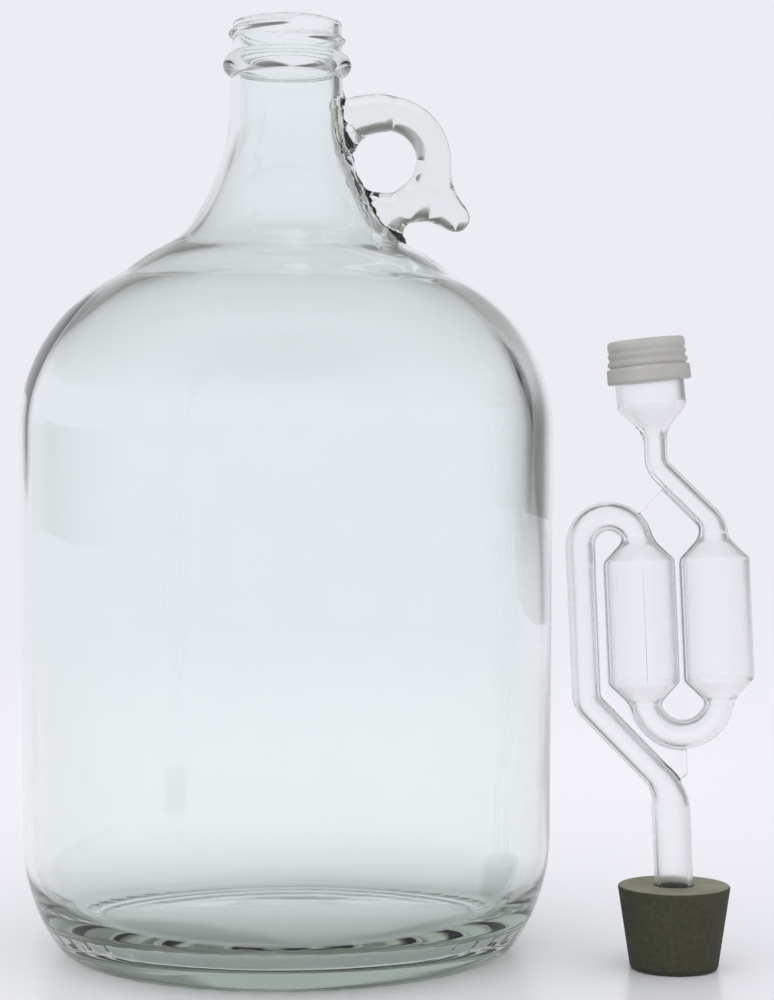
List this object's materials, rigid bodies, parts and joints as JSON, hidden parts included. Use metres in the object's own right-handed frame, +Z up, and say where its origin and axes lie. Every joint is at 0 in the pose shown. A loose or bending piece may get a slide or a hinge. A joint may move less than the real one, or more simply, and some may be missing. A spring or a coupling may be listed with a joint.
{
  "type": "fermentation jar with airlock",
  "caption": "One gallon clear glass jug with finger loop and screw finish, beside a drilled rubber bung holding a twin chamber airlock with a push-on cap.",
  "frame": {"origin": "middle of the whole set's footprint, on the surface that it stands on", "axes": "+Z up along the jug's axis, +X from the jug's axis towards the finger loop and the bung, -Y towards the side that the bung stands nearer to"},
  "size_m": [0.2266, 0.168, 0.292],
  "materials": {
    "jug_glass": "clear, faintly green, blown",
    "bung_rubber": "matt, fine grained",
    "airlock_plastic": "clear, moulded",
    "cap_plastic": "frosted, translucent"
  },
  "bodies": {
    "jug_body": {"jug": "jug_glass"},
    "bung_body": {"bung": "bung_rubber"},
    "airlock": {"airlock_body": "airlock_plastic"},
    "cap": {"airlock_cap": "cap_plastic"}
  },
  "joints": [
    {"name": "bung_lift", "type": "slide", "parent": "jug_body", "child": "bung_body", "axis": [0, 0, 1], "range_m": [0, 0.3]},
    {"name": "airlock_pull", "type": "slide", "parent": "bung_body", "child": "airlock", "axis": [-0.0436, 0, 0.999], "range_m": [0, 0.03]},
    {"name": "cap_pull", "type": "slide", "parent": "airlock", "child": "cap", "axis": [-0.0958, 0, 0.9954], "range_m": [0, 0.02]}
  ]
}
